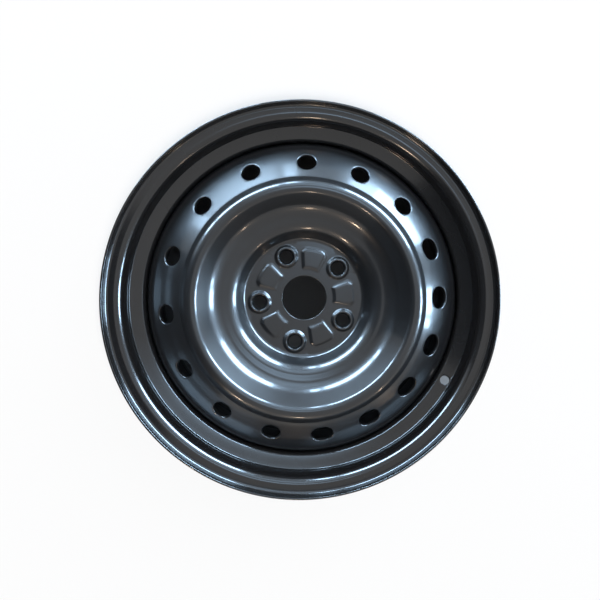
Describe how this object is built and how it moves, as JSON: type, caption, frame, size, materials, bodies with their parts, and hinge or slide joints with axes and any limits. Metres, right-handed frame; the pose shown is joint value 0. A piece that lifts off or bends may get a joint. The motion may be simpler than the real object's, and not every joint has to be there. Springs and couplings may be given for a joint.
{
  "type": "steel wheel",
  "caption": "Black pressed steel car wheel, a drop-centre rim with a welded disc that has a centre bore, stud holes with raised nut seats and a ring of vents.",
  "frame": {"origin": "on the wheel's axis, in the plane of the inboard lip that the wheel lies on", "axes": "+Z along the wheel's axis towards the street side, +X through the valve hole"},
  "size_m": [0.4712, 0.471, 0.2032],
  "materials": {
    "rim_paint": "satin black dip paint on rolled steel",
    "disc_paint": "semi-gloss black dip paint on pressed steel",
    "weld_paint": "satin black paint over rippled weld beads"
  },
  "bodies": {
    "root": {"rim": "rim_paint", "disc": "disc_paint", "weld_beads": "weld_paint"}
  },
  "joints": []
}
